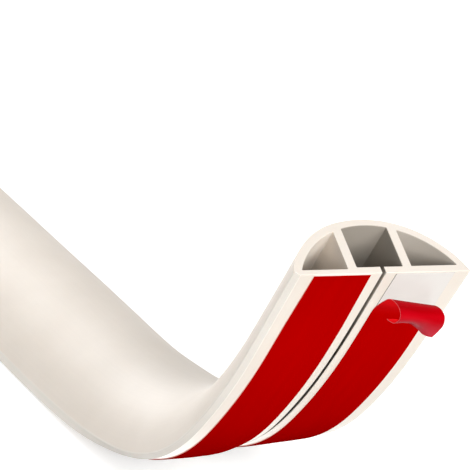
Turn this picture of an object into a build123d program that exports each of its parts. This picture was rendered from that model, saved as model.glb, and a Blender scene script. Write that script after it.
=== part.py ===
"""Floor cable cover: one length of soft PVC cover, domed on top and flat below,
with three hollow channels, a slit under the centre channel, two strips of
double-sided tape and their red release liners. The cover lies on the floor and
its near end is bent up, a little askew, with one liner peeled back from that end.

Frame: +Z up, +X along the cover towards the lifted end, +Y across it.
Z = 0 is the floor, under the liners. Millimetres.
"""

import math
import os

from build123d import *

# ---- driving dimensions (mm) -------------------------------------------------
LENGTH = 1000.0  # length of the cover along its flat bottom
WIDTH = 60.0  # width over the flat bottom
HEIGHT = 20.9  # flat bottom to the crown
LIP = 1.6  # upright edge at each foot of the dome
LIP_ROUND = 1.5  # rounding where that edge meets the dome
FOOT_ROUND = 0.8  # rounding of the two bottom corners
DOME_WALL = 2.3  # wall of the dome
BASE_WALL = 2.2  # wall of the flat bottom
WEB_MID = 9.55  # centre of a web, from the middle of the cover
WEB_WALL = 3.2  # thickness of a web
CHANNEL_ROUND = 0.4  # rounding in the corners of the channels

SLIT_FAR = 0.30  # slit width on the flat run
SLIT_END = 1.15  # slit width at the lifted end, where it gapes

BEND_SKEW = 7.7  # the bend's axis lies this far off square, degrees
END_RUN = 34.9  # straight run at the lifted end
# the bend as a row of arcs from the floor to the end: radius at the flat
# bottom, and turn in degrees
BEND_ARCS = [(618.6, 3.86), (184.6, 10.72), (97.7, 36.27), (225.0, 12.73)]

TAPE_IN = 3.8  # inner edge of a tape, from the middle of the cover
TAPE_OUT = 25.3  # outer edge of a tape
TAPE_T = 0.3  # tape thickness
LINER_T = 0.2  # release liner thickness
TAPE_INSET = 0.4  # tape and liner stop this short of the cut ends

# the peeled film of the right liner: two lines along its middle, with points given
# from the lifted end's cut and off the flat bottom; the film runs straight between
CURL_ACROSS = (5.0, 24.8)  # where the two lines lie, across the cover
CURL_LEFT = [
    (17.8, 0.4), (16.3, 0.58), (13.6, 1.2), (10.2, 2.3), (8.9, 3.4), (8.3, 4.9),
    (7.95, 7.2), (8.5, 9.3), (10.6, 10.2), (13.0, 9.4), (14.5, 7.6), (15.26, 6.0),
]
CURL_RIGHT = [
    (20.4, 0.4), (18.9, 0.58), (16.4, 1.1), (14.5, 2.0), (13.5, 3.4), (12.95, 5.2),
    (13.3, 6.8), (14.1, 7.6), (15.5, 8.1), (17.4, 8.2), (20.9, 7.7), (24.4, 6.75),
]

# ---- derived -----------------------------------------------------------------
base_z = TAPE_T + LINER_T  # the flat bottom stands on tape and liner
skew = math.radians(BEND_SKEW)
dome_r = ((WIDTH / 2) ** 2 + (HEIGHT - LIP) ** 2) / (2 * (HEIGHT - LIP))
dome_c = HEIGHT - dome_r  # height of the dome's centre over the flat bottom
inner_r = dome_r - DOME_WALL

# The cover's middle line runs along +X on the floor. In the bend it follows a
# helix about axes along ax_dir, so the section keeps its shape and turns with it.
ax_dir = Vector(math.sin(skew), math.cos(skew), 0)  # along the bend's axis
go_dir = Vector(math.cos(skew), -math.sin(skew), 0)  # across it, on the floor
up_dir = Vector(0, 0, 1)


def station(origin, angle):
    """Section plane at a bend angle: local x across, local y off the bottom."""
    ahead = go_dir * math.cos(angle) + up_dir * math.sin(angle)
    along = ahead * math.cos(skew) + ax_dir * math.sin(skew)
    across = ax_dir * math.cos(skew) - ahead * math.sin(skew)
    return Plane(origin=origin, x_dir=across, z_dir=along)


bend_run = sum(math.radians(turn) * r for r, turn in BEND_ARCS) / math.cos(skew)
floor_run = LENGTH - END_RUN - bend_run
far_plane = station(Vector(-floor_run, 0, base_z), 0)
spot, angle = Vector(0, 0, base_z), 0.0
stations = [station(spot, angle)]  # one at the start of each arc, and the last end
for r, turn in BEND_ARCS:
    after = angle + math.radians(turn)
    spot = (
        spot
        + go_dir * (r * (math.sin(after) - math.sin(angle)))
        + up_dir * (r * (math.cos(angle) - math.cos(after)))
        + ax_dir * (r * (after - angle) * math.tan(skew))
    )
    angle = after
    stations.append(station(spot, angle))
end_plane = stations[-1]
tip_plane = end_plane.offset(END_RUN)
tip_dir, tip_across, tip_up = end_plane.z_dir, end_plane.x_dir, end_plane.y_dir


def channel_sections():
    """The channels as holes through the section: the centre one and a side one."""
    web_in = WEB_MID - WEB_WALL / 2
    web_out = WEB_MID + WEB_WALL / 2
    top_in = dome_c + math.sqrt(inner_r**2 - web_in**2)
    top_out = dome_c + math.sqrt(inner_r**2 - web_out**2)
    foot = math.sqrt(inner_r**2 - (BASE_WALL - dome_c) ** 2)
    with BuildSketch() as centre:
        with BuildLine():
            Polyline(
                (-web_in, top_in),
                (-web_in, BASE_WALL),
                (web_in, BASE_WALL),
                (web_in, top_in),
            )
            ThreePointArc(
                (web_in, top_in), (0, dome_c + inner_r), (-web_in, top_in)
            )
        make_face()
        fillet(centre.vertices(), CHANNEL_ROUND)
    with BuildSketch() as side:
        mid_a = (
            math.atan2(top_out - dome_c, web_out)
            + math.atan2(BASE_WALL - dome_c, foot)
        ) / 2
        mid = (inner_r * math.cos(mid_a), dome_c + inner_r * math.sin(mid_a))
        with BuildLine():
            Polyline((web_out, top_out), (web_out, BASE_WALL), (foot, BASE_WALL))
            ThreePointArc((foot, BASE_WALL), mid, (web_out, top_out))
        make_face()
        fillet(side.vertices(), CHANNEL_ROUND)
    return centre.sketch, side.sketch


centre_channel, side_channel = channel_sections()


def section_on(plane):
    """The whole section as a sketch on a plane."""
    half = WIDTH / 2
    with BuildSketch(plane) as whole:
        with BuildLine():
            Polyline((-half, LIP), (-half, 0), (half, 0), (half, LIP))
            ThreePointArc((half, LIP), (0, HEIGHT), (-half, LIP))
        make_face()
        corners = whole.vertices().sort_by(Axis.Y)
        fillet(corners[:2], FOOT_ROUND)
        fillet(whole.vertices().filter_by_position(Axis.Y, LIP - 0.01, LIP + 0.01), LIP_ROUND)
        add(centre_channel, mode=Mode.SUBTRACT)
        add(side_channel, mode=Mode.SUBTRACT)
        add(mirror(side_channel, about=Plane.YZ, mode=Mode.PRIVATE), mode=Mode.SUBTRACT)
    return whole.sketch


def strip_on(plane, y_low, y_high, low, high):
    """A flat strip's section on a plane: across the cover, and off its bottom."""
    with BuildSketch(plane) as strip:
        with BuildLine():
            Polyline(
                (y_low, low), (y_high, low), (y_high, high), (y_low, high), close=True
            )
        make_face()
    return strip.sketch


def bent_run(draw, index):
    """A section carried round one arc of the bend, along its helix."""
    r, turn = BEND_ARCS[index]
    climb = r * math.tan(skew)  # along the axis for each radian
    start = Plane(
        origin=(r, 0, 0),
        x_dir=(0, math.sin(skew), math.cos(skew)),
        z_dir=(0, -math.cos(skew), math.sin(skew)),
    )
    with BuildPart() as run:
        with BuildLine() as line:
            Helix(
                pitch=2 * math.pi * climb,
                height=climb * math.radians(turn),
                radius=r,
                lefthand=True,
            )
        sweep(draw(start), path=line.wires()[0], is_frenet=True)
    return run.part.moved(stations[index].location * start.location.inverse())


# ---- the cover, with the slit through its flat bottom, gaping towards the end ---
with BuildPart() as cover:
    extrude(section_on(far_plane), amount=floor_run)
    for i in range(len(BEND_ARCS)):
        add(bent_run(section_on, i))
    extrude(section_on(end_plane), amount=END_RUN)
    low, high = -3.0, BASE_WALL + 4.0
    slit_at = [far_plane.offset(-2)] + stations + [tip_plane.offset(2)]
    climb_all = tip_plane.origin.Z - base_z
    slit_faces = []
    for plane in slit_at:
        share = (plane.origin.Z - base_z) / climb_all
        half = (SLIT_FAR + (SLIT_END - SLIT_FAR) * share) / 2
        slit_faces.append(strip_on(plane, -half, half, low, high))
    loft(slit_faces, ruled=True, mode=Mode.SUBTRACT)


def build_strip(y_low, y_high, low, high, end_run):
    """A strip that follows the flat bottom, stopping short of the far cut."""

    def draw(plane):
        return strip_on(plane, y_low, y_high, low, high)

    with BuildPart() as strip:
        extrude(draw(far_plane.offset(TAPE_INSET)), amount=floor_run - TAPE_INSET)
        for i in range(len(BEND_ARCS)):
            add(bent_run(draw, i))
        if end_run > 0:
            extrude(draw(end_plane), amount=end_run)
    return strip


full_end = END_RUN - TAPE_INSET
tape_left = build_strip(-TAPE_OUT, -TAPE_IN, -TAPE_T, 0, full_end)
tape_right = build_strip(TAPE_IN, TAPE_OUT, -TAPE_T, 0, full_end)
liner_left = build_strip(-TAPE_OUT, -TAPE_IN, -base_z, -TAPE_T, full_end)

# ---- the right liner: flat up to a skew peel line, then lifted and curled back ----
liner_run = build_strip(TAPE_IN, TAPE_OUT, -base_z, -TAPE_T, 0)
out_dir = tip_up * -1  # away from the flat bottom


def curl_section(points, across):
    """The curled film's section: its middle line given half its thickness each way."""
    plane = Plane(
        origin=tip_plane.origin + tip_across * across,
        x_dir=tip_dir * -1,
        z_dir=tip_across * -1,
    )
    last = len(points) - 1
    ways = []
    for i in range(last + 1):
        (a0, h0), (a1, h1) = points[max(i - 1, 0)], points[min(i + 1, last)]
        way = Vector(a1 - a0, h1 - h0).normalized()
        ways.append(Vector(-1, 0) if i == 0 else way)
    half = LINER_T / 2
    one = [(a - w.Y * half, h + w.X * half) for (a, h), w in zip(points, ways)]
    two = [(a + w.Y * half, h - w.X * half) for (a, h), w in zip(points, ways)]
    with BuildSketch(plane) as film:
        with BuildLine():
            Spline(*one, tangents=(ways[0], ways[-1]))
            Line(one[-1], two[-1])
            Spline(*two, tangents=(ways[0], ways[-1]))
            Line(two[0], one[0])
        make_face()
    return film.sketch


film_plane = Plane(origin=tip_plane.origin + out_dir * TAPE_T, x_dir=tip_dir, z_dir=out_dir)
side = film_plane.y_dir.dot(tip_across)  # which way local y runs
with BuildPart() as liner_right:
    add(liner_run.part)
    with BuildSketch(film_plane):
        with BuildLine():
            Polyline(
                (-END_RUN, side * TAPE_IN),
                (-CURL_LEFT[0][0] - 0.4, side * TAPE_IN),
                (-CURL_LEFT[0][0], side * CURL_ACROSS[0]),
                (-CURL_RIGHT[0][0], side * CURL_ACROSS[1]),
                (-CURL_RIGHT[0][0] - 0.4, side * TAPE_OUT),
                (-END_RUN, side * TAPE_OUT),
                close=True,
            )
        make_face()
    extrude(amount=LINER_T)
    loft(
        [
            curl_section(CURL_LEFT, CURL_ACROSS[0]),
            curl_section(CURL_RIGHT, CURL_ACROSS[1]),
        ],
        ruled=True,
    )

# ---- move the origin under the middle of the box and write the parts ----------
pieces = {
    "cover_extrusion": cover.part,
    "adhesive_tape_left": tape_left.part,
    "adhesive_tape_right": tape_right.part,
    "release_liner_left": liner_left.part,
    "release_liner_right": liner_right.part,
}
boxes = [p.bounding_box() for p in pieces.values()]
x_low, x_high = min(b.min.X for b in boxes), max(b.max.X for b in boxes)
y_low, y_high = min(b.min.Y for b in boxes), max(b.max.Y for b in boxes)
z_low = min(b.min.Z for b in boxes)
shift = Location((-(x_low + x_high) / 2, -(y_low + y_high) / 2, -z_low))
os.makedirs("parts", exist_ok=True)
for name, piece in pieces.items():
    piece = piece.moved(shift)
    piece.label = name
    export_step(piece, f"parts/{name}.step")
    b = piece.bounding_box()
    print(name, len(piece.solids()), round(piece.volume), b.min, b.max)
print("shift", shift.position, "floor_run", round(floor_run, 3), "bend_run", round(bend_run, 3))
print("tip", tip_plane.origin + shift.position, "along", tip_dir, "across", tip_across, "up", tip_up)
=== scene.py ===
"""Looks of the floor cable cover: the soft PVC cover, its two tapes and the red
release films, one of them peeled back into a loose curl, on a plain pale floor.

Lengths in the numbers below are millimetres; the meshes are made in metres.
"""

import math

import bpy
import numpy as np
from mathutils import Matrix, Vector
from mathutils.geometry import tessellate_polygon


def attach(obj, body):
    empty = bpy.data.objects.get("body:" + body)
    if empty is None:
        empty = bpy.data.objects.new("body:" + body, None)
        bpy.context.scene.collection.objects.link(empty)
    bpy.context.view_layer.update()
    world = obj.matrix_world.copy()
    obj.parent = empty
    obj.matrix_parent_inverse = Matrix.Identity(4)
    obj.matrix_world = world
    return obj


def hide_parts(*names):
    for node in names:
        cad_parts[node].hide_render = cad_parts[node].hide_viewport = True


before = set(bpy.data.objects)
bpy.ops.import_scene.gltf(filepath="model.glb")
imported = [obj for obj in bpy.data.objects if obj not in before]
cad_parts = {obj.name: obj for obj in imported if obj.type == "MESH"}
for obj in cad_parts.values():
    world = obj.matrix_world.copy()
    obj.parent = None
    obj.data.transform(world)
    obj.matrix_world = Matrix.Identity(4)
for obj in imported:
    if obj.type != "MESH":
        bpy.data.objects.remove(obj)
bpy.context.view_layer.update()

MM = 0.001

# ---- the part's own dimensions, as in its model --------------------------------
LENGTH, WIDTH, HEIGHT = 1000.0, 60.0, 20.9
LIP = 1.9
DOME_WALL, SIDE_LEFT, SIDE_RIGHT = 2.45, 2.35, 2.55  # over the centre channel, and over the side ones
# an extrusion this soft is never quite even: the webs and the base's three floors, left to right
WEB_LEFT, WEB_RIGHT, WEB_WALL, CHANNEL_ROUND = 10.0, 9.1, 3.2, 0.22
BASE_LEFT, BASE_MID, BASE_RIGHT = 1.85, 2.45, 2.5
SLIT_FAR, SLIT_END = 0.30, 1.15
BEND_SKEW, END_RUN = 7.7, 34.9
BEND_ARCS = [(618.6, 3.86), (184.6, 10.72), (97.7, 36.27), (225.0, 12.73)]
TAPE_IN, TAPE_OUT, TAPE_T, LINER_T, TAPE_INSET = 3.8, 25.3, 0.3, 0.2, 0.4
BASE_Z = TAPE_T + LINER_T
SHIFT = np.array([299.273, -3.508, 0.0093])  # the bend's start, in the row frame

skew = math.radians(BEND_SKEW)
half_w = WIDTH / 2
dome_r = (half_w**2 + (HEIGHT - LIP) ** 2) / (2 * (HEIGHT - LIP))
dome_c = HEIGHT - dome_r
inner_r = dome_r - DOME_WALL

# ---- the middle line of the flat bottom, and the section frames along it -------
ax_dir = np.array([math.sin(skew), math.cos(skew), 0.0])
go_dir = np.array([math.cos(skew), -math.sin(skew), 0.0])
up_dir = np.array([0.0, 0.0, 1.0])
bend_run = sum(math.radians(t) * r for r, t in BEND_ARCS) / math.cos(skew)
FLOOR_RUN = LENGTH - END_RUN - bend_run


def make_path():
    """Place and bend angle every quarter millimetre, with the steps in curvature eased."""
    step = 0.25
    s = np.arange(0.0, LENGTH + step / 2, step)
    turned, at = [(0.0, 0.0), (FLOOR_RUN, 0.0)], FLOOR_RUN
    for r, turn in BEND_ARCS:
        at += math.radians(turn) * r / math.cos(skew)
        turned.append((at, turned[-1][1] + math.radians(turn)))
    turned.append((LENGTH, turned[-1][1]))
    raw = np.interp(s, *np.array(turned).T)
    window = np.hanning(83)[1:-1]
    pad = len(window) // 2
    long = np.concatenate([np.full(pad, raw[0]), raw, np.full(pad, raw[-1])])
    angle = np.convolve(long, window / window.sum(), "valid")
    ahead = np.cos(angle)[:, None] * go_dir + np.sin(angle)[:, None] * up_dir
    along = ahead * math.cos(skew) + ax_dir * math.sin(skew)
    mid = (along[1:] + along[:-1]) / 2 * step
    place = np.concatenate([np.zeros((1, 3)), np.cumsum(mid, axis=0)])
    start = np.array([-FLOOR_RUN, 0.0, BASE_Z]) + SHIFT
    return s, place + start, angle


path_s, path_at, path_angle = make_path()


def frames(s):
    """Origin, along, across and up of the section at each s."""
    s = np.atleast_1d(np.asarray(s, float))
    at = np.stack([np.interp(s, path_s, path_at[:, i]) for i in range(3)], 1)
    angle = np.interp(s, path_s, path_angle)
    ahead = np.cos(angle)[:, None] * go_dir + np.sin(angle)[:, None] * up_dir
    along = ahead * math.cos(skew) + ax_dir * math.sin(skew)
    across = ax_dir * math.cos(skew) - ahead * math.sin(skew)
    up = np.cross(along, across)
    over = np.maximum(s - LENGTH, 0)[:, None]
    return at + along * over, along, across, up


tip_at, tip_along, tip_across, tip_up = (v[0] for v in frames(LENGTH))


# ---- outlines of sections ------------------------------------------------------
class Outline:
    """A closed outline with material on its left: points, normals out of it, soft
    edge size and distance along it. Straight and round runs join in tangent."""

    def __init__(self):
        self.p, self.n, self.e, self.k = [], [], [], []
        self.kind = 0  # 0 the skin, 1 inside a channel, 2 the soft lip, 3 a thin edge, 4 and 5 the side channels

    def put(self, p, n, edge):
        if not self.p or math.dist(p, self.p[-1]) > 1e-6:
            self.p.append(tuple(p))
            self.n.append(tuple(n))
            self.e.append(edge)
            self.k.append(self.kind)

    def line(self, a, b, cuts, edge=1.0):
        a, b = np.array(a, float), np.array(b, float)
        d = (b - a) / np.linalg.norm(b - a)
        for t in np.linspace(0, 1, cuts + 1):
            self.put(a + (b - a) * t, (d[1], -d[0]), edge)

    def arc(self, centre, r, a0, a1, cuts, edge=1.0):
        """Turning left, the round is convex and its normal points out; turning right, in."""
        out = 1.0 if a1 > a0 else -1.0
        for t in np.radians(np.linspace(a0, a1, cuts + 1)):
            c, s = math.cos(t), math.sin(t)
            self.put((centre[0] + r * c, centre[1] + r * s), (out * c, out * s), edge)

    def corner(self, before, at, after, r, cuts, edge=1.0):
        """A rounded corner between two straight ways."""
        before, at, after = (np.array(v, float) for v in (before, at, after))
        d1 = (at - before) / np.linalg.norm(at - before)
        d2 = (after - at) / np.linalg.norm(after - at)
        turn = math.atan2(d1[0] * d2[1] - d1[1] * d2[0], d1 @ d2)
        side = 1.0 if turn > 0 else -1.0
        start = at - d1 * r * math.tan(abs(turn) / 2)
        centre = start + side * r * np.array([-d1[1], d1[0]])
        a0 = deg(start[0], start[1], *centre)
        self.arc(centre, r, a0, a0 + math.degrees(turn), cuts, edge)

    def done(self):
        p, n, e, k = np.array(self.p), np.array(self.n), np.array(self.e), np.array(self.k)
        if np.linalg.norm(p[0] - p[-1]) < 1e-6:
            p, n, e, k = p[:-1], n[:-1], e[:-1], k[:-1]
        gap = np.linalg.norm(np.diff(p, axis=0, append=p[:1]), axis=1)
        run = np.concatenate([[0], np.cumsum(gap)[:-1]])
        return p, n, e, run, k


def deg(y, n, cy=0.0, cn=0.0):
    return math.degrees(math.atan2(n - cn, y - cy))


def smooth(t):
    t = min(1.0, max(0.0, t))
    return t * t * (3 - 2 * t)


def table(at, value, reach):
    """A smooth line through a few values along the length."""
    raw = np.interp(path_s, at, value)
    window = np.hanning(int(reach * 4) * 2 + 3)[1:-1]
    pad = len(window) // 2
    raw = np.concatenate([np.full(pad, raw[0]), raw, np.full(pad, raw[-1])])
    kept = np.convolve(raw, window / window.sum(), "valid")
    return lambda s: float(np.interp(s, path_s, kept))


# bending pushes the dome out on its left and flattens its right shoulder
dome_left = table([0, 760, 820, 850, 880, 930, 945, 960, 980, 1000], [0.15, 0.2, 0.1, 0.0, 0.2, 0.5, 0.6, 0.66, 0.54, 0.45], 9)
dome_right = table([0, 640, 680, 700, 743, 762, 790, 803, 812, 822, 838, 870], [0, 0, -0.12, -0.27, -0.36, -0.5, -0.85, -0.8, -0.4, 0.0, 0.3, 0.1], 8)
# the right lip draws in a little where it lifts
lip_right = table([0, 900, 920, 938, 950, 965, 985, 1000], [0, 0, -0.25, -0.45, -0.75, -0.75, -0.3, 0], 5)
# and the left one turns under where the bend starts
lip_left = table([0, 835, 855, 872, 895, 1000], [0, 0, 0.5, 0.5, 0, 0], 5)
# the slit runs a little off the middle there, and its lips part
slit_mid = table([0, 860, 905, 955, 970, 980, 992, 1000], [0, 0, 0.38, 0.42, 0.6, 0.55, 0.42, 0.25], 4)
slit_gap = table([0, 901, 910, 918, 930, 942, 955, 968, 1000], [SLIT_FAR, SLIT_FAR, 0.8, 1.15, 1.35, 1.2, 1.1, 1.25, 1.3], 3)
# and makes the left half of the slit base belly out below the bend
BELLY = [(-31.5, 0.05), (-28, 0.35), (-25, 0.8), (-20, 1.15), (-15, 1.4), (-10, 1.45), (-7, 1.3), (-5, 0.85), (-3.8, 0.45), (-0.4, 0.0), (0.4, 0.0), (6, 0.3), (20, 0.3), (26, 0.2), (31.5, 0.1)]


def belly(s, p):
    """Moves a section's points down where the base bellies."""
    amount = math.exp(-(((s - 886.0) / 26.0) ** 2))
    if amount < 1e-3:
        return p
    fade = np.clip((6.5 - p[:, 1]) / 4.2, 0, 1)
    drop = amount * np.interp(p[:, 0], *np.array(BELLY).T) * fade * fade * (3 - 2 * fade)
    return p - np.stack([np.zeros(len(p)), drop], 1)


def dome_h(y):
    return dome_c + math.sqrt(dome_r**2 - y * y)


def cover_outlines(s, slit, flare):
    """The whole section at s: its outer line, led through the slit round the centre
    channel, and the two side channels. The slit's lips thin out by flare inwards. The
    soft lips spread on the floor; at the lifted end the left one tucks in under."""
    h, rs, rc, m = slit / 2, 0.12, CHANNEL_ROUND, slit_mid(s)
    k = h + flare
    fine = 0.4  # softer edges stay small along the narrow slit
    up_r, up_l = smooth((s - 815.0) / 85.0), smooth((s - 805.0) / 62.0)

    def between(up, floor, lifted):
        return np.array(floor) * (1 - up) + np.array(lifted) * up

    y_r, y_l = float(between(up_r, 29.6, 30.55)) + lip_right(s), float(between(up_r, -29.6, -30.25))
    top_r, top_l = np.array([y_r, dome_h(y_r)]), np.array([y_l, dome_h(y_l)])
    foot_r, foot_l = between(up_r, (30.35, -0.40), (30.90, -0.03)), between(up_l, (-30.35, -0.40), (-28.75, -0.22))
    step_r, step_l = between(up_r, (29.6, 0), (30.1, 0)), between(up_l, (-29.6, 0), (-28.2, 0))
    foot_r, step_r = foot_r + (lip_right(s), 0), step_r + (lip_right(s), 0)
    foot_l, step_l = foot_l + (lip_left(s), 0), step_l + (lip_left(s), 0)
    turn_r, turn_l = deg(*top_r, 0, dome_c), deg(*top_l, 0, dome_c)
    slope_l = np.array([-math.sin(math.radians(turn_l)), math.cos(math.radians(turn_l))])
    slope_r = np.array([-math.sin(math.radians(turn_r)), math.cos(math.radians(turn_r))])

    o = Outline()
    o.arc((m + h + rs, rs), rs, 180, 270, 3, fine)
    o.line((m + h + rs, 0), (TAPE_IN, 0), 3)
    o.line((TAPE_IN, 0), (TAPE_OUT, 0), 8)
    o.line((TAPE_OUT, 0), step_r - (0.4, 0), 3)
    o.corner((TAPE_OUT, 0), step_r, foot_r, 0.25, 2)
    o.kind = 2
    o.corner(step_r, foot_r, top_r, 0.12, 5)
    o.corner(foot_r, top_r, top_r + slope_r, 0.5, 4)
    o.kind = 0
    first = len(o.p)
    o.arc((0, dome_c), dome_r, turn_r + 1.0, turn_l - 1.2, 64)
    last = len(o.p)
    o.kind = 2
    o.corner(top_l - slope_l, top_l, foot_l, 0.35, 6)
    lip_way = foot_l - top_l
    o.line(top_l + lip_way * 0.3, top_l + lip_way * 0.7, 3)
    o.corner(top_l, foot_l, step_l, 0.14, 6)
    o.kind = 0
    o.corner(foot_l, step_l, (-TAPE_OUT, 0), 0.25, 3)
    o.line(step_l + (0.4, 0), (-TAPE_OUT, 0), 3)
    o.line((-TAPE_OUT, 0), (-TAPE_IN, 0), 8)
    o.line((-TAPE_IN, 0), (m - h - rs, 0), 3)
    o.arc((m - h - rs, rs), rs, -90, 0, 3, fine)
    o.kind = 1
    o.line((m - h, rs), (m - k, BASE_MID - rs), 3, fine)
    o.arc((m - k - rs, BASE_MID - rs), rs, 0, 90, 3, fine)
    in_l, in_r = WEB_LEFT - WEB_WALL / 2, WEB_RIGHT - WEB_WALL / 2
    o.line((m - k - rs, BASE_MID), (-in_l + rc, BASE_MID), 4)
    o.arc((-in_l + rc, BASE_MID + rc), rc, 270, 180, 4)
    high_l = dome_c + math.sqrt((inner_r - rc) ** 2 - (in_l - rc) ** 2)
    high_r = dome_c + math.sqrt((inner_r - rc) ** 2 - (in_r - rc) ** 2)
    far_l, far_r = deg(-in_l + rc, high_l, 0, dome_c), deg(in_r - rc, high_r, 0, dome_c)
    o.line((-in_l, BASE_MID + rc), (-in_l, high_l), 6)
    o.arc((-in_l + rc, high_l), rc, 180, far_l, 4)
    o.arc((0, dome_c), inner_r, far_l, far_r, 12)
    o.arc((in_r - rc, high_r), rc, far_r, 0, 4)
    o.line((in_r, high_r), (in_r, BASE_MID + rc), 6)
    o.arc((in_r - rc, BASE_MID + rc), rc, 0, -90, 4)
    o.line((in_r - rc, BASE_MID), (m + k + rs, BASE_MID), 4)
    o.arc((m + k + rs, BASE_MID - rs), rs, 90, 180, 3, fine)
    o.line((m + k, BASE_MID - rs), (m + h, rs), 3, fine)
    p, n, e, run, kind = o.done()
    # the dome gives a little where the bend presses it
    dome = p[first:last]
    left = np.clip((-1.0 - dome[:, 0]) / 15.0, 0, 1)
    right = np.clip((dome[:, 0] - 6.0) / 15.0, 0, 1)
    give = dome_left(s) * left * left * (3 - 2 * left) + dome_right(s) * right * right * (3 - 2 * right)
    low = np.clip((dome[:, 1] - 1.2) / 3.0, 0, 1)  # the lips stay where they are
    p[first:last] = dome + n[first:last] * (give * low)[:, None]
    loops = [(p, n, e, run, kind)]

    for side, web, base, wall in ((1, WEB_RIGHT, BASE_RIGHT, SIDE_RIGHT), (-1, WEB_LEFT, BASE_LEFT, SIDE_LEFT)):
        out, side_r = web + WEB_WALL / 2, dome_r - wall
        top = dome_c + math.sqrt((side_r - rc) ** 2 - (out + rc) ** 2)
        foot = math.sqrt((side_r - rc) ** 2 - (base + rc - dome_c) ** 2)
        near = deg(out + rc, top, 0, dome_c)
        low = deg(foot, base + rc, 0, dome_c)
        c = Outline()
        c.kind = 5 if side > 0 else 4
        c.line((out, base + rc), (out, top), 6)
        c.arc((out + rc, top), rc, 180, near, 5)
        c.arc((0, dome_c), side_r, near, low, 18)
        c.arc((foot, base + rc), rc, low, -90, 6)
        c.line((foot, base), (out + rc, base), 6)
        c.arc((out + rc, base + rc), rc, 270, 180, 4)
        p, n, e, run, kind = c.done()
        if side < 0:
            flip = np.array([-1.0, 1.0])
            p, n, e, run, kind = p[::-1] * flip, n[::-1] * flip, e[::-1], run[::-1], kind[::-1]
        loops.append((p, n, e, run, kind))
    return loops


def strip_outline(y_low, y_high, low, high, r):
    """A flat strip's section with its edges rounded."""
    o = Outline()
    o.line((y_low + r, low), (y_high - r, low), 16)
    o.kind = 3
    o.arc((y_high - r, low + r), r, -90, 0, 3)
    o.line((y_high, low + r), (y_high, high - r), 1)
    o.arc((y_high - r, high - r), r, 0, 90, 3)
    o.kind = 0
    o.line((y_high - r, high), (y_low + r, high), 16)
    o.kind = 3
    o.arc((y_low + r, high - r), r, 90, 180, 3)
    o.line((y_low, high - r), (y_low, low + r), 1)
    o.arc((y_low + r, low + r), r, 180, 270, 3)
    return [o.done()]


# ---- meshes --------------------------------------------------------------------
def new_object(name, verts, faces, materials, normals=None, layers=None, face_mat=None):
    """A mesh object in metres from points in millimetres."""
    mesh = bpy.data.meshes.new(name)
    mesh.from_pydata((np.asarray(verts) * MM).tolist(), [], faces)
    for m in materials:
        mesh.materials.append(m)
    if face_mat is not None:
        mesh.polygons.foreach_set("material_index", np.asarray(face_mat, np.int32))
    for key, data in (layers or {}).items():
        data = np.asarray(data, np.float32)
        kind = "FLOAT_VECTOR" if data.ndim == 2 else "FLOAT"
        layer = mesh.attributes.new(key, kind, "POINT")
        layer.data.foreach_set("vector" if data.ndim == 2 else "value", data.ravel())
    mesh.polygons.foreach_set("use_smooth", np.ones(len(mesh.polygons), bool))
    if normals is not None:
        mesh.normals_split_custom_set_from_vertices(np.asarray(normals).tolist())
    mesh.update()
    obj = bpy.data.objects.new(name, mesh)
    bpy.context.scene.collection.objects.link(obj)
    return obj


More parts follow.
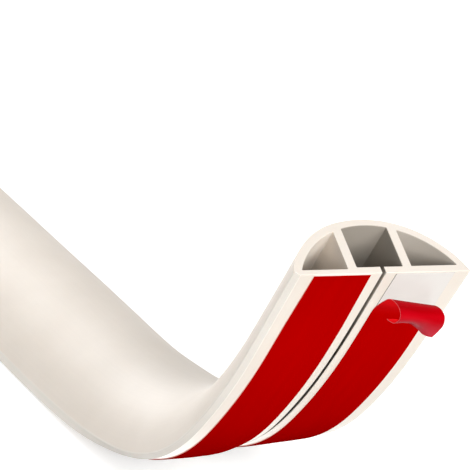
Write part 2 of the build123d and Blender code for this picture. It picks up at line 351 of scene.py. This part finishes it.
def swept(name, outlines_at, stations, edge, materials, shift=None):
    """Carries outlines along the path, with soft cut edges and closed ends.

    outlines_at(s) gives the loops at s, always with the same count of points.
    shift(s, p) may move the points of a section a little.
    """
    rounds = np.radians([90, 66, 44, 22])
    rows = [(stations[0] + edge * (1 - math.sin(a)), 1 - math.cos(a), -math.sin(a)) for a in rounds]
    rows += [(s, 0.0, 0.0) for s in stations if stations[0] + edge * 1.01 < s < stations[-1] - edge * 1.01]
    rows[4:4] = [(stations[0] + edge, 0.0, 0.0)]
    rows.append((stations[-1] - edge, 0.0, 0.0))
    rows += [(stations[-1] - edge * (1 - math.sin(a)), 1 - math.cos(a), math.sin(a)) for a in rounds[::-1]]
    verts, norms, runs, kinds, faces = [], [], [], [], []
    ring_at, first = [], 0
    for s, inset, tilt in rows:
        at, along, across, up = (v[0] for v in frames(s))
        ring_at.append([])
        for p, n, e, run, kind in outlines_at(s):
            q = p - n * (e * inset * edge)[:, None]
            if shift is not None:
                q = shift(s, q)
            spot = at + q[:, :1] * across + q[:, 1:] * up
            side = n[:, :1] * across + n[:, 1:] * up
            norm = side * math.sqrt(max(0.0, 1 - tilt * tilt)) + along * tilt
            ring_at[-1].append((first, len(p)))
            first += len(p)
            verts.append(spot)
            norms.append(norm)
            runs.append(np.stack([np.full(len(p), s), run, np.zeros(len(p))], 1) * MM)
            kinds.append(kind)
    for a, b in zip(ring_at, ring_at[1:]):
        for (i, count), (j, _) in zip(a, b):
            for k in range(count):
                m = (k + 1) % count
                faces.append((i + k, i + m, j + m, j + k))
    verts, norms, runs, kinds = map(np.concatenate, (verts, norms, runs, kinds))
    cut = np.zeros(len(verts))
    for ring, s, flip in ((ring_at[0], rows[0][0], True), (ring_at[-1], rows[-1][0], False)):
        at, along, across, up = (v[0] for v in frames(s))
        polys, index = [], []
        for i, count in ring:
            spots = verts[i : i + count] - at
            flat = np.stack([spots @ across, spots @ up, np.zeros(count)], 1)
            polys.append([Vector(v) for v in flat])
            index += list(range(i, i + count))
        # the cut face has points of its own, so that its finish can differ, and its colour too, with a touch of painted
        # shade
        base = len(verts)
        spots = verts[index]
        local = np.stack([(spots - at) @ across, (spots - at) @ up, np.zeros(len(index))], 1)
        verts = np.concatenate([verts, spots])
        norms = np.concatenate([norms, np.tile(-along if flip else along, (len(index), 1))])
        runs = np.concatenate([runs, local * MM])
        cut = np.concatenate([cut, np.ones(len(index))])
        kinds = np.concatenate([kinds, np.zeros(len(index))])
        for tri in tessellate_polygon(polys):
            a, b, c = (local[t] for t in tri)
            area = (b[0] - a[0]) * (c[1] - a[1]) - (b[1] - a[1]) * (c[0] - a[0])
            if abs(area) < 1e-9:
                continue
            tri = tuple(base + t for t in tri)
            if (area > 0) == flip:
                tri = tri[::-1]
            faces.append(tri)
    layers = {"run": runs, "cut": cut}
    # the inner mask places painted shade (full in the centre channel and the slit, 0.1 in the left channel, 0.7 in the
    # right), the lip mask painted light, the rim mask the tapes' painted edge colour
    for number, key in ((1, "inner"), (2, "lip"), (3, "rim")):
        if np.any(kinds == number):
            layers[key] = (kinds == number).astype(float)
    if "inner" in layers:
        layers["inner"] += 0.1 * (kinds == 4) + 0.7 * (kinds == 5)
    return new_object(name, verts, faces, materials, norms, layers)


def noise_line(seed, size, amount):
    """A smooth seeded wander along the length, in millimetres."""
    local = np.random.default_rng(seed)
    knots = np.arange(-size, LENGTH + 3 * size, size)
    value = local.normal(0, amount, len(knots))

    def at(s):
        x = (s + size) / size
        i = np.clip(np.floor(x).astype(int), 1, len(knots) - 3)
        t = x - i
        p0, p1, p2, p3 = value[i - 1], value[i], value[i + 1], value[i + 2]
        return 0.5 * (
            2 * p1 + (p2 - p0) * t + (2 * p0 - 5 * p1 + 4 * p2 - p3) * t**2 + (3 * p1 - p0 - 3 * p2 + p3) * t**3
        )

    return at


# ---- materials -----------------------------------------------------------------
def material(name):
    m = bpy.data.materials.new(name)
    m.use_nodes = True
    tree = m.node_tree
    tree.nodes.clear()
    out = tree.nodes.new("ShaderNodeOutputMaterial")
    shader = tree.nodes.new("ShaderNodeBsdfPrincipled")
    tree.links.new(shader.outputs["BSDF"], out.inputs["Surface"])

    def add(kind, **values):
        node = tree.nodes.new(kind)
        for key, value in values.items():
            if key in node.inputs:
                node.inputs[key].default_value = value
            else:
                setattr(node, key, value)
        return node

    return m, tree, shader, add


def scaled(tree, add, source, scale):
    node = add("ShaderNodeVectorMath", operation="MULTIPLY")
    node.inputs[1].default_value = scale
    tree.links.new(source, node.inputs[0])
    return node.outputs["Vector"]


def ramp(tree, add, fac, stops):
    node = add("ShaderNodeValToRGB")
    for i, (at, colour) in enumerate(stops):
        el = node.color_ramp.elements[i] if i < 2 else node.color_ramp.elements.new(at)
        el.position = at
        el.color = (*colour, 1.0) if len(colour) == 3 else colour
    tree.links.new(fac, node.inputs["Fac"])
    return node.outputs["Color"]


def pvc_material():
    """Ivory soft PVC as it comes from the die: satin, with faint lengthwise lines, a
    fine grain and a slight cloudiness; the cut ends show the blade's fine strokes."""
    m, tree, shader, add = material("ivory_soft_pvc")
    link = tree.links.new
    run = add("ShaderNodeAttribute", attribute_name="run").outputs["Vector"]
    cut = add("ShaderNodeAttribute", attribute_name="cut").outputs["Fac"]
    place = add("ShaderNodeTexCoord").outputs["Object"]

    cloud = add("ShaderNodeTexNoise", Scale=38.0, Detail=4.0, Roughness=0.55)
    link(place, cloud.inputs["Vector"])
    tone = ramp(tree, add, cloud.outputs["Fac"], [(0.30, (0.702, 0.632, 0.556)), (0.72, (0.744, 0.675, 0.599))])
    lines = add("ShaderNodeTexNoise", Scale=1.0, Detail=5.0, Roughness=0.6)
    link(scaled(tree, add, run, (3.0, 1100.0, 1.0)), lines.inputs["Vector"])
    streak = ramp(tree, add, lines.outputs["Fac"], [(0.35, (0.985, 0.985, 0.985)), (0.65, (1.0, 1.0, 1.0))])
    mix = add("ShaderNodeMix", data_type="RGBA", blend_type="MULTIPLY")
    mix.inputs["Factor"].default_value = 1.0
    link(tone, mix.inputs["A"])
    link(streak, mix.inputs["B"])
    # painted shade: the walls of the channels and of the slit are darkened for the shade inside them; painted light:
    # the lips are lightened and cooled for light they don't get; painted shade: the cut end is darkened a touch against
    # the light on it
    inner = add("ShaderNodeAttribute", attribute_name="inner").outputs["Fac"]
    lip = add("ShaderNodeAttribute", attribute_name="lip").outputs["Fac"]
    colour = mix.outputs["Result"]
    for where, tint in ((inner, (0.44, 0.435, 0.42, 1.0)), (lip, (1.06, 1.10, 1.13, 1.0)), (cut, (0.965, 0.975, 0.985, 1.0))):
        painted_tint = add("ShaderNodeMix", data_type="RGBA", blend_type="MULTIPLY")
        link(where, painted_tint.inputs["Factor"])
        link(colour, painted_tint.inputs["A"])
        painted_tint.inputs["B"].default_value = tint
        colour = painted_tint.outputs["Result"]
    link(colour, shader.inputs["Base Color"])

    grain = add("ShaderNodeTexNoise", Scale=2600.0, Detail=3.0, Roughness=0.6)
    link(place, grain.inputs["Vector"])
    rough = add("ShaderNodeMapRange")
    rough.inputs["To Min"].default_value = 0.40
    rough.inputs["To Max"].default_value = 0.56
    link(grain.outputs["Fac"], rough.inputs["Value"])
    link(rough.outputs["Result"], shader.inputs["Roughness"])

    stroke = add("ShaderNodeTexNoise", Scale=1.0, Detail=4.0, Roughness=0.65)
    link(scaled(tree, add, run, (260.0, 2400.0, 1.0)), stroke.inputs["Vector"])
    height = add("ShaderNodeMix", data_type="FLOAT")
    link(cut, height.inputs["Factor"])
    link(lines.outputs["Fac"], height.inputs["A"])
    link(stroke.outputs["Fac"], height.inputs["B"])
    coarse = add("ShaderNodeBump", Strength=0.25, Distance=0.00006)
    link(height.outputs["Result"], coarse.inputs["Height"])
    fine = add("ShaderNodeBump", Strength=0.22, Distance=0.00002)
    link(grain.outputs["Fac"], fine.inputs["Height"])
    link(coarse.outputs["Normal"], fine.inputs["Normal"])
    link(fine.outputs["Normal"], shader.inputs["Normal"])
    shader.inputs["Specular IOR Level"].default_value = 0.5
    shader.inputs["Subsurface Weight"].default_value = 0.12
    shader.inputs["Subsurface Radius"].default_value = (1.0, 0.72, 0.5)
    shader.inputs["Subsurface Scale"].default_value = 0.0015
    return m


def tape_material(name, edge, exposed_edge_shade=None):
    """Bare adhesive: milky, faintly cool, softly glossy, with fine ripples from the coater.
    Its thin edges are a light pink like the film over them, lightened as painted light against
    their shade; where the tape lies exposed its edges are painted dark and its cut end grey,
    as painted shade lines."""
    m, tree, shader, add = material(name)
    link = tree.links.new
    run = add("ShaderNodeAttribute", attribute_name="run").outputs["Vector"]
    place = add("ShaderNodeTexCoord").outputs["Object"]
    cloud = add("ShaderNodeTexNoise", Scale=150.0, Detail=3.0, Roughness=0.5)
    link(place, cloud.inputs["Vector"])
    tone = ramp(tree, add, cloud.outputs["Fac"], [(0.3, (0.661, 0.624, 0.589)), (0.7, (0.682, 0.645, 0.609))])
    rim = add("ShaderNodeAttribute", attribute_name="rim").outputs["Fac"]
    # painted light: the thin edges take a light pink that offsets their shade
    side = add("ShaderNodeMix", data_type="RGBA")
    link(rim, side.inputs["Factor"])
    link(tone, side.inputs["A"])
    side.inputs["B"].default_value = edge
    colour = side.outputs["Result"]
    if exposed_edge_shade is not None:
        far = add("ShaderNodeSeparateXYZ")
        link(run, far.inputs["Vector"])
        open_from = add("ShaderNodeMapRange")
        open_from.inputs["From Min"].default_value = (LENGTH - 19.0) * MM
        open_from.inputs["From Max"].default_value = (LENGTH - 18.0) * MM
        link(far.outputs["X"], open_from.inputs["Value"])
        # painted shade: on the exposed end the tape's edges are dark
        under = add("ShaderNodeMix", data_type="RGBA")
        link(open_from.outputs["Result"], under.inputs["Factor"])
        under.inputs["A"].default_value = edge
        under.inputs["B"].default_value = exposed_edge_shade
        link(under.outputs["Result"], side.inputs["B"])
        # painted shade: the cut end is grey
        end = add("ShaderNodeMix", data_type="RGBA")
        link(add("ShaderNodeAttribute", attribute_name="cut").outputs["Fac"], end.inputs["Factor"])
        link(colour, end.inputs["A"])
        end.inputs["B"].default_value = (0.50, 0.47, 0.44, 1.0)
        colour = end.outputs["Result"]
    link(colour, shader.inputs["Base Color"])
    ripple = add("ShaderNodeTexNoise", Scale=1.0, Detail=3.0, Roughness=0.5)
    link(scaled(tree, add, run, (60.0, 700.0, 1.0)), ripple.inputs["Vector"])
    bump = add("ShaderNodeBump", Strength=0.3, Distance=0.00008)
    link(ripple.outputs["Fac"], bump.inputs["Height"])
    link(bump.outputs["Normal"], shader.inputs["Normal"])
    rough = add("ShaderNodeMapRange")
    rough.inputs["To Min"].default_value = 0.30
    rough.inputs["To Max"].default_value = 0.45
    link(cloud.outputs["Fac"], rough.inputs["Value"])
    link(rough.outputs["Result"], shader.inputs["Roughness"])
    shader.inputs["Specular IOR Level"].default_value = 0.4
    return m


def film_material(name, dark, light, specular, rough_low, rough_high, bump_size, flow_size=(40.0, 320.0, 1.0), painted_glow=(0.62, 0.0, 0.001, 1.0)):
    """Red release film, with a faint flow in its colour and gloss; flow_size says which way."""
    m, tree, shader, add = material(name)
    link = tree.links.new
    run = add("ShaderNodeAttribute", attribute_name="run").outputs["Vector"]
    flow = add("ShaderNodeTexNoise", Scale=1.0, Detail=4.0, Roughness=0.55)
    link(scaled(tree, add, run, flow_size), flow.inputs["Vector"])
    # painted light: where the film lifts into the curl its colour is lightened towards a brighter red, standing for
    # light through the thin film
    tone = add("ShaderNodeMix", data_type="RGBA")
    link(add("ShaderNodeAttribute", attribute_name="painted_lift_glow").outputs["Fac"], tone.inputs["Factor"])
    link(ramp(tree, add, flow.outputs["Fac"], [(0.3, dark), (0.7, light)]), tone.inputs["A"])
    tone.inputs["B"].default_value = painted_glow
    link(tone.outputs["Result"], shader.inputs["Base Color"])
    speck = add("ShaderNodeTexNoise", Scale=900.0, Detail=2.0, Roughness=0.5)
    link(run, speck.inputs["Vector"])
    rough = add("ShaderNodeMapRange")
    rough.inputs["To Min"].default_value = rough_low
    rough.inputs["To Max"].default_value = rough_high
    link(speck.outputs["Fac"], rough.inputs["Value"])
    link(rough.outputs["Result"], shader.inputs["Roughness"])
    bump = add("ShaderNodeBump", Strength=0.35, Distance=bump_size)
    link(flow.outputs["Fac"], bump.inputs["Height"])
    link(bump.outputs["Normal"], shader.inputs["Normal"])
    shader.inputs["Specular IOR Level"].default_value = specular
    return m


PVC = pvc_material()
ADHESIVE = tape_material("milky_adhesive", (0.80, 0.40, 0.34, 1.0))
ADHESIVE_BARE = tape_material("milky_adhesive_bare", (0.80, 0.40, 0.34, 1.0), (0.22, 0.20, 0.18, 1.0))
FILM = film_material("red_film_flat", (0.360, 0.0, 0.0), (0.386, 0.0, 0.0), 0.0, 0.45, 0.60, 0.00003, painted_glow=(0.80, 0.008, 0.012, 1.0))
CURL = film_material("red_film_curl", (0.34, 0.0, 0.002), (0.42, 0.001, 0.006), 0.004, 0.16, 0.28, 0.00010, (420.0, 30.0, 1.0), (0.66, 0.03, 0.055, 1.0))
# painted highlight: the lifted film's edges are a pale pink, lighter than the film
FILM_EDGE = film_material("red_film_edge", (0.66, 0.075, 0.085), (0.74, 0.11, 0.12), 0.35, 0.25, 0.4, 0.00003)

# ---- the cover -----------------------------------------------------------------
bend_from, bend_to = FLOOR_RUN - 12, LENGTH - END_RUN + 12
cover_stations = np.concatenate(
    [
        np.linspace(0, bend_from, 36)[:-1],
        np.linspace(bend_from, bend_to, 130)[:-1],
        np.linspace(bend_to, LENGTH - 10, 6)[:-1],
        np.linspace(LENGTH - 10, LENGTH, 12),
    ]
)


def slit_flare(s):
    """The lips are square at the lifted cut and on the floor, and undercut between."""
    near = min(1.0, max(0.0, (LENGTH - 6.0 - s) / 48.0))
    off = min(1.0, max(0.0, (s - FLOOR_RUN) / 60.0))
    return 1.5 * near * near * (3 - 2 * near) * off


cover = swept(
    "cover_extrusion_soft",
    lambda s: cover_outlines(s, slit_gap(s), slit_flare(s)),
    cover_stations,
    0.16,
    [PVC],
    belly,
)
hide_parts("cover_extrusion")
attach(cover, "root")

# ---- the tapes and the left film ----------------------------------------------
strip_stations = np.concatenate(
    [
        np.linspace(TAPE_INSET, bend_from, 60)[:-1],
        np.linspace(bend_from, bend_to, 110)[:-1],
        np.linspace(bend_to, LENGTH - TAPE_INSET, 12),
    ]
)


def pull(s, at_end, below, low=0.0):
    """How far an edge is drawn off its line near the lifted end: at the cut, 25 and 90 mm in."""
    return np.interp(LENGTH - s, [0.0, 25.0, 90.0, 150.0], [at_end, below, low, 0.0])


def strip(name, node, mat, y_low, y_high, low, high, seed, amount, low_pull, high_pull):
    left, right = noise_line(seed, 37.0, amount), noise_line(seed + 1, 41.0, amount)

    def wander(s, p):
        part = (p[:, 0] - y_low) / (y_high - y_low)
        move = (left(s) + pull(s, *low_pull)) * (1 - part) + (right(s) + pull(s, *high_pull)) * part
        return belly(s, p + np.stack([move, np.zeros(len(p))], 1))

    shape = strip_outline(y_low, y_high, low, high, min(0.06, (high - low) / 2.5))
    obj = swept(name, lambda s: shape, strip_stations, 0.05, [mat], wander)
    obj.visible_shadow = False  # too thin to shade the cover beside it
    if mat is FILM:
        obj.visible_diffuse = False  # keeps the red off its pale neighbours
    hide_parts(node)
    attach(obj, "root")
    return obj


outer, inner = (1.55, 1.05, 0.85), (-0.6, 0.3, 0.5)
right_in = (0.9, 0.45, 0.2)
strip("tape_left", "adhesive_tape_left", ADHESIVE, -TAPE_OUT, -TAPE_IN, -TAPE_T, -0.01, 11, 0.04, outer, inner)
strip("tape_right", "adhesive_tape_right", ADHESIVE_BARE, TAPE_IN, TAPE_OUT, -TAPE_T, -0.01, 21, 0.04, right_in, (0, 0))
strip("liner_left", "release_liner_left", FILM, -TAPE_OUT, -TAPE_IN, -BASE_Z, -TAPE_T - 0.005, 11, 0.04, outer, inner)

# ---- the right film: flat, then lifted and curled back ---------------------------
# the curl's left and right edges: from the cut end, across, off the flat bottom
CURL_LEFT = [
    (24.0, 3.8, 0.40), (20.5, 3.8, 0.40), (17.9, 3.8, 0.43), (16.2, 3.85, 0.62), (13.7, 4.2, 1.25),
    (11.6, 4.65, 1.85), (9.91, 5.0, 2.52), (9.0, 5.4, 3.39), (8.38, 5.8, 4.82), (7.95, 6.0, 7.0), (8.2, 6.0, 9.0),
    (9.3, 6.0, 10.1), (10.9, 6.0, 10.2), (13.06, 5.9, 9.35), (14.52, 5.7, 7.6), (15.26, 5.5, 6.02),
]
CURL_RIGHT = [
    (28.0, 25.3, 0.40), (25.0, 25.3, 0.40), (22.0, 25.25, 0.43), (20.2, 25.1, 0.60), (18.2, 24.7, 0.9),
    (16.4, 24.1, 1.3), (14.67, 23.6, 1.95), (13.8, 23.8, 2.9), (13.2, 24.1, 4.1), (12.94, 24.4, 5.3),
    (13.26, 24.8, 6.74), (14.06, 25.0, 7.53), (15.53, 25.2, 8.11), (17.41, 25.3, 8.22), (20.87, 25.3, 7.71),
    (24.34, 25.3, 6.89),
]
# the film's cut end, across and then from the end and off the bottom: it opens out to the right
CURL_END = [
    (5.5, 15.26, 6.02), (9.0, 15.6, 6.05), (12.5, 16.5, 6.2), (16.0, 18.41, 6.39), (18.0, 19.84, 6.50),
    (20.0, 21.69, 6.56), (21.2, 22.7, 6.75), (23.3, 23.83, 6.80), (25.3, 24.34, 6.89),
]


def spline(points, count):
    """A smooth line through points, evenly spaced along its length."""
    p = np.array(points, float)
    p = np.concatenate([2 * p[:1] - p[1:2], p, 2 * p[-1:] - p[-2:-1]])
    dense = []
    for i in range(1, len(p) - 2):
        t = np.linspace(0, 1, 40, endpoint=i == len(p) - 3)[:, None]
        p0, p1, p2, p3 = p[i - 1 : i + 3]
        dense.append(
            0.5 * (2 * p1 + (p2 - p0) * t + (2 * p0 - 5 * p1 + 4 * p2 - p3) * t**2 + (3 * p1 - p0 - 3 * p2 + p3) * t**3)
        )
    dense = np.concatenate(dense)
    far = np.concatenate([[0], np.cumsum(np.linalg.norm(np.diff(dense, axis=0), axis=1))])
    return np.stack([np.interp(np.linspace(0, far[-1], count), far, dense[:, i]) for i in range(3)], 1)


COLS, CURL_ROWS = 28, 110
left_line, right_line = spline(CURL_LEFT, CURL_ROWS), spline(CURL_RIGHT, CURL_ROWS)
share = np.linspace(0, 1, COLS + 1)


def curl_rows():
    """Rows of points over the curl, in the lifted end's frame."""
    end = np.array(CURL_END)
    rows = []
    for k in range(CURL_ROWS):
        u = k / (CURL_ROWS - 1)
        tail = min(1.0, max(0.0, (u - 0.58) / 0.42))
        ease = tail * tail * (3 - 2 * tail)
        y = left_line[k, 1] * (1 - share) + right_line[k, 1] * share
        a = left_line[k, 0] * (1 - share) + right_line[k, 0] * share
        h = left_line[k, 2] * (1 - share) + right_line[k, 2] * share
        y_end = left_line[-1, 1] * (1 - share) + right_line[-1, 1] * share
        a_end = left_line[-1, 0] * (1 - share) + right_line[-1, 0] * share
        h_end = left_line[-1, 2] * (1 - share) + right_line[-1, 2] * share
        a = a + ease * (np.interp(y_end, end[:, 0], end[:, 1]) - a_end)
        h = h + ease * (np.interp(y_end, end[:, 0], end[:, 2]) - h_end)
        rows.append(np.stack([a, y, h], 1))
    return np.array(rows)


def right_film():
    half = LINER_T / 2 - 0.005
    grid, lifted, lengths, painted_lift_glow, loose = [], [], [], [], []
    edge_l, edge_r = noise_line(41, 37.0, 0.06), noise_line(42, 41.0, 0.06)
    curl = curl_rows()
    flat_s = [s for s in strip_stations if s < LENGTH - 30.0]
    for s in flat_s:
        at, along, across, up = (v[0] for v in frames(s))
        y = TAPE_IN + (TAPE_OUT - TAPE_IN) * share
        y = y + edge_l(s) * (1 - share) ** 8 + edge_r(s) * share**8
        spot = belly(s, np.stack([y, np.full(len(y), -TAPE_T - LINER_T / 2)], 1))
        grid.append(at + spot[:, :1] * across + spot[:, 1:] * up)
        lifted.append(0.0)
        lengths.append(s)
        painted_lift_glow.append(0.0)
        loose.append(0.0)
    for k, row in enumerate(curl):
        grid.append(tip_at - row[:, :1] * tip_along + row[:, 1:2] * tip_across - row[:, 2:] * tip_up)
        lifted.append(1.0 if k / (CURL_ROWS - 1) > 0.2 else 0.0)
        lengths.append(LENGTH - 24.0 + 28.0 * k / (CURL_ROWS - 1))
        # painted light: the curl's inner face is lightened from where the film starts to lift
        painted_lift_glow.append(smooth((k / (CURL_ROWS - 1) - 0.12) / 0.4))
        # painted highlight: the curl's outer face is lightened towards its loose end
        loose.append(0.8 * smooth((k / (CURL_ROWS - 1) - 0.68) / 0.25))
    grid = np.array(grid)
    down = np.gradient(grid, axis=0)
    over = np.gradient(grid, axis=1)
    norm = np.cross(down, over)
    norm /= np.linalg.norm(norm, axis=2, keepdims=True)
    rows, cols = grid.shape[:2]
    face_up, face_down = grid + norm * half, grid - norm * half
    runs = np.stack(
        [
            np.repeat(np.array(lengths)[:, None], cols, 1),
            np.repeat((TAPE_IN + (TAPE_OUT - TAPE_IN) * share)[None], rows, 0),
            np.zeros((rows, cols)),
        ],
        2,
    )
    verts = [face_up.reshape(-1, 3), face_down.reshape(-1, 3)]
    norms = [norm.reshape(-1, 3), -norm.reshape(-1, 3)]
    run = [runs.reshape(-1, 3), runs.reshape(-1, 3)]
    faces, mats = [], []
    n = rows * cols
    for i in range(rows - 1):
        mat = 1 if lifted[i] > 0.5 else 0
        for j in range(cols - 1):
            a, b, c, d = i * cols + j, i * cols + j + 1, (i + 1) * cols + j + 1, (i + 1) * cols + j
            faces += [(a, d, c, b), (n + a, n + b, n + c, n + d)]
            mats += [mat, 0]
    # the film's own edges, with points of their own
    ring = [(i, 0) for i in range(rows)] + [(rows - 1, j) for j in range(1, cols)]
    ring += [(i, cols - 1) for i in range(rows - 2, -1, -1)] + [(0, j) for j in range(cols - 2, 0, -1)]
    base = 2 * n
    top = np.array([face_up[i, j] for i, j in ring])
    low = np.array([face_down[i, j] for i, j in ring])
    ahead = np.roll(top, -1, 0) - np.roll(top, 1, 0)
    out = np.cross(ahead, top - low)
    out /= np.linalg.norm(out, axis=1, keepdims=True)
    side = np.array([grid[i, j] - grid[min(i, rows - 1), cols // 2] for i, j in ring])
    if np.sum(out[: rows] * side[: rows]) < 0:
        out = -out
    verts += [top, low]
    norms += [out, out]
    run += [np.array([runs[i, j] for i, j in ring])] * 2
    count = len(ring)
    for k in range(count):
        m = (k + 1) % count
        faces.append((base + k, base + m, base + count + m, base + count + k))
        mats.append(2 if lifted[ring[k][0]] > 0.5 else 0)
    verts, norms, run = map(np.concatenate, (verts, norms, run))
    painted_glow = np.zeros(len(verts))
    painted_glow[:n], painted_glow[n : 2 * n] = np.repeat(loose, cols), np.repeat(painted_lift_glow, cols)
    faces = [tuple(f) for f in faces]
    checked = []
    for f in faces:  # every face looks the way its points' normals do
        p = verts[list(f)]
        flat = np.cross(p[2] - p[0], p[3] - p[1])
        checked.append(f if flat @ norms[list(f)].mean(0) > 0 else f[::-1])
    obj = new_object("liner_right", verts, checked, [FILM, CURL, FILM_EDGE], norms, {"run": run * MM, "painted_lift_glow": painted_glow}, mats)
    obj.visible_diffuse = False
    obj.visible_shadow = False  # so thin that the light goes through the curl
    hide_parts("release_liner_right")
    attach(obj, "root")
    return obj


right_film()

# ---- floor, light and camera ---------------------------------------------------
def floor():
    m, tree, shader, add = material("pale_floor")
    place = add("ShaderNodeTexCoord").outputs["Object"]
    cloud = add("ShaderNodeTexNoise", Scale=3.0, Detail=3.0, Roughness=0.5)
    tree.links.new(place, cloud.inputs["Vector"])
    tone = ramp(tree, add, cloud.outputs["Fac"], [(0.3, (0.925, 0.925, 0.925)), (0.7, (0.935, 0.935, 0.935))])
    tree.links.new(tone, shader.inputs["Base Color"])
    shader.inputs["Roughness"].default_value = 0.9
    shader.inputs["Specular IOR Level"].default_value = 0.1
    shader.inputs["Emission Color"].default_value = (1.0, 1.0, 1.0, 1.0)
    shader.inputs["Emission Strength"].default_value = 0.32  # a light table, so that shadows stay faint
    size = 30.0
    mesh = bpy.data.meshes.new("floor")
    z = -0.0002
    mesh.from_pydata([(-size, -size, z), (size, -size, z), (size, size, z), (-size, size, z)], [], [(0, 1, 2, 3)])
    mesh.materials.append(m)
    obj = bpy.data.objects.new("floor", mesh)
    obj.visible_diffuse = False
    bpy.context.scene.collection.objects.link(obj)


floor()


def soft_light(name, azimuth, height, strength, spread=60.0, only=None):
    """A broad even light from one side: azimuth from +X towards +Y, degrees. With only, it
    reaches one piece and nothing else."""
    az, el = math.radians(azimuth), math.radians(height)
    data = bpy.data.lights.new(name, "SUN")
    data.energy = strength
    data.angle = math.radians(spread)
    obj = bpy.data.objects.new(name, data)
    way = Vector((math.cos(az) * math.cos(el), math.sin(az) * math.cos(el), math.sin(el)))
    obj.rotation_euler = (-way).to_track_quat("-Z", "Y").to_euler()
    bpy.context.scene.collection.objects.link(obj)
    if only is not None:
        group = bpy.data.collections.new(name + "_lit")
        group.objects.link(only)
        obj.light_linking.receiver_collection = group
        obj.light_linking.blocker_collection = group


soft_light("front", 0, 14, 5.90)
soft_light("left", -45, 14, 0.35)
soft_light("left_low", -110, 5, 1.33, 30.0)
soft_light("back", 180, 20, 1.27, 30.0)
soft_light("back_low", 180, 14, 0.84)
soft_light("back_right", 150, 40, 0.82)
soft_light("table", 150, -60, 1.2, 8.0, cover)  # the light table, on the pale base where it curves up

world = bpy.data.worlds.new("studio")
bpy.context.scene.world = world
world.use_nodes = True
world.node_tree.nodes["Background"].inputs["Color"].default_value = (1.0, 1.0, 1.0, 1.0)
world.node_tree.nodes["Background"].inputs["Strength"].default_value = 0.19

right = np.array([0.48862583, 0.86999852, 0.06593467])
down = np.array([0.39893958, -0.15557279, -0.90368375])
ahead = np.cross(right, down)
eye = tip_at + np.array([640.029, -439.189, 370.798])
cam_data = bpy.data.cameras.new("camera")
cam_data.sensor_width = 36.0
cam_data.lens = 36.0 * 2845.483 / 470.0
cam_data.clip_start, cam_data.clip_end = 0.01, 100.0
cam = bpy.data.objects.new("camera", cam_data)
cam.matrix_world = Matrix(
    [
        [right[i], -down[i], -ahead[i], eye[i] * MM]
        for i in range(3)
    ]
    + [[0, 0, 0, 1]]
)
bpy.context.scene.collection.objects.link(cam)
bpy.context.scene.camera = cam

view = bpy.context.scene.view_settings
view.view_transform = "Standard"
view.look = "None"
view.exposure = 0.0
view.gamma = 1.0
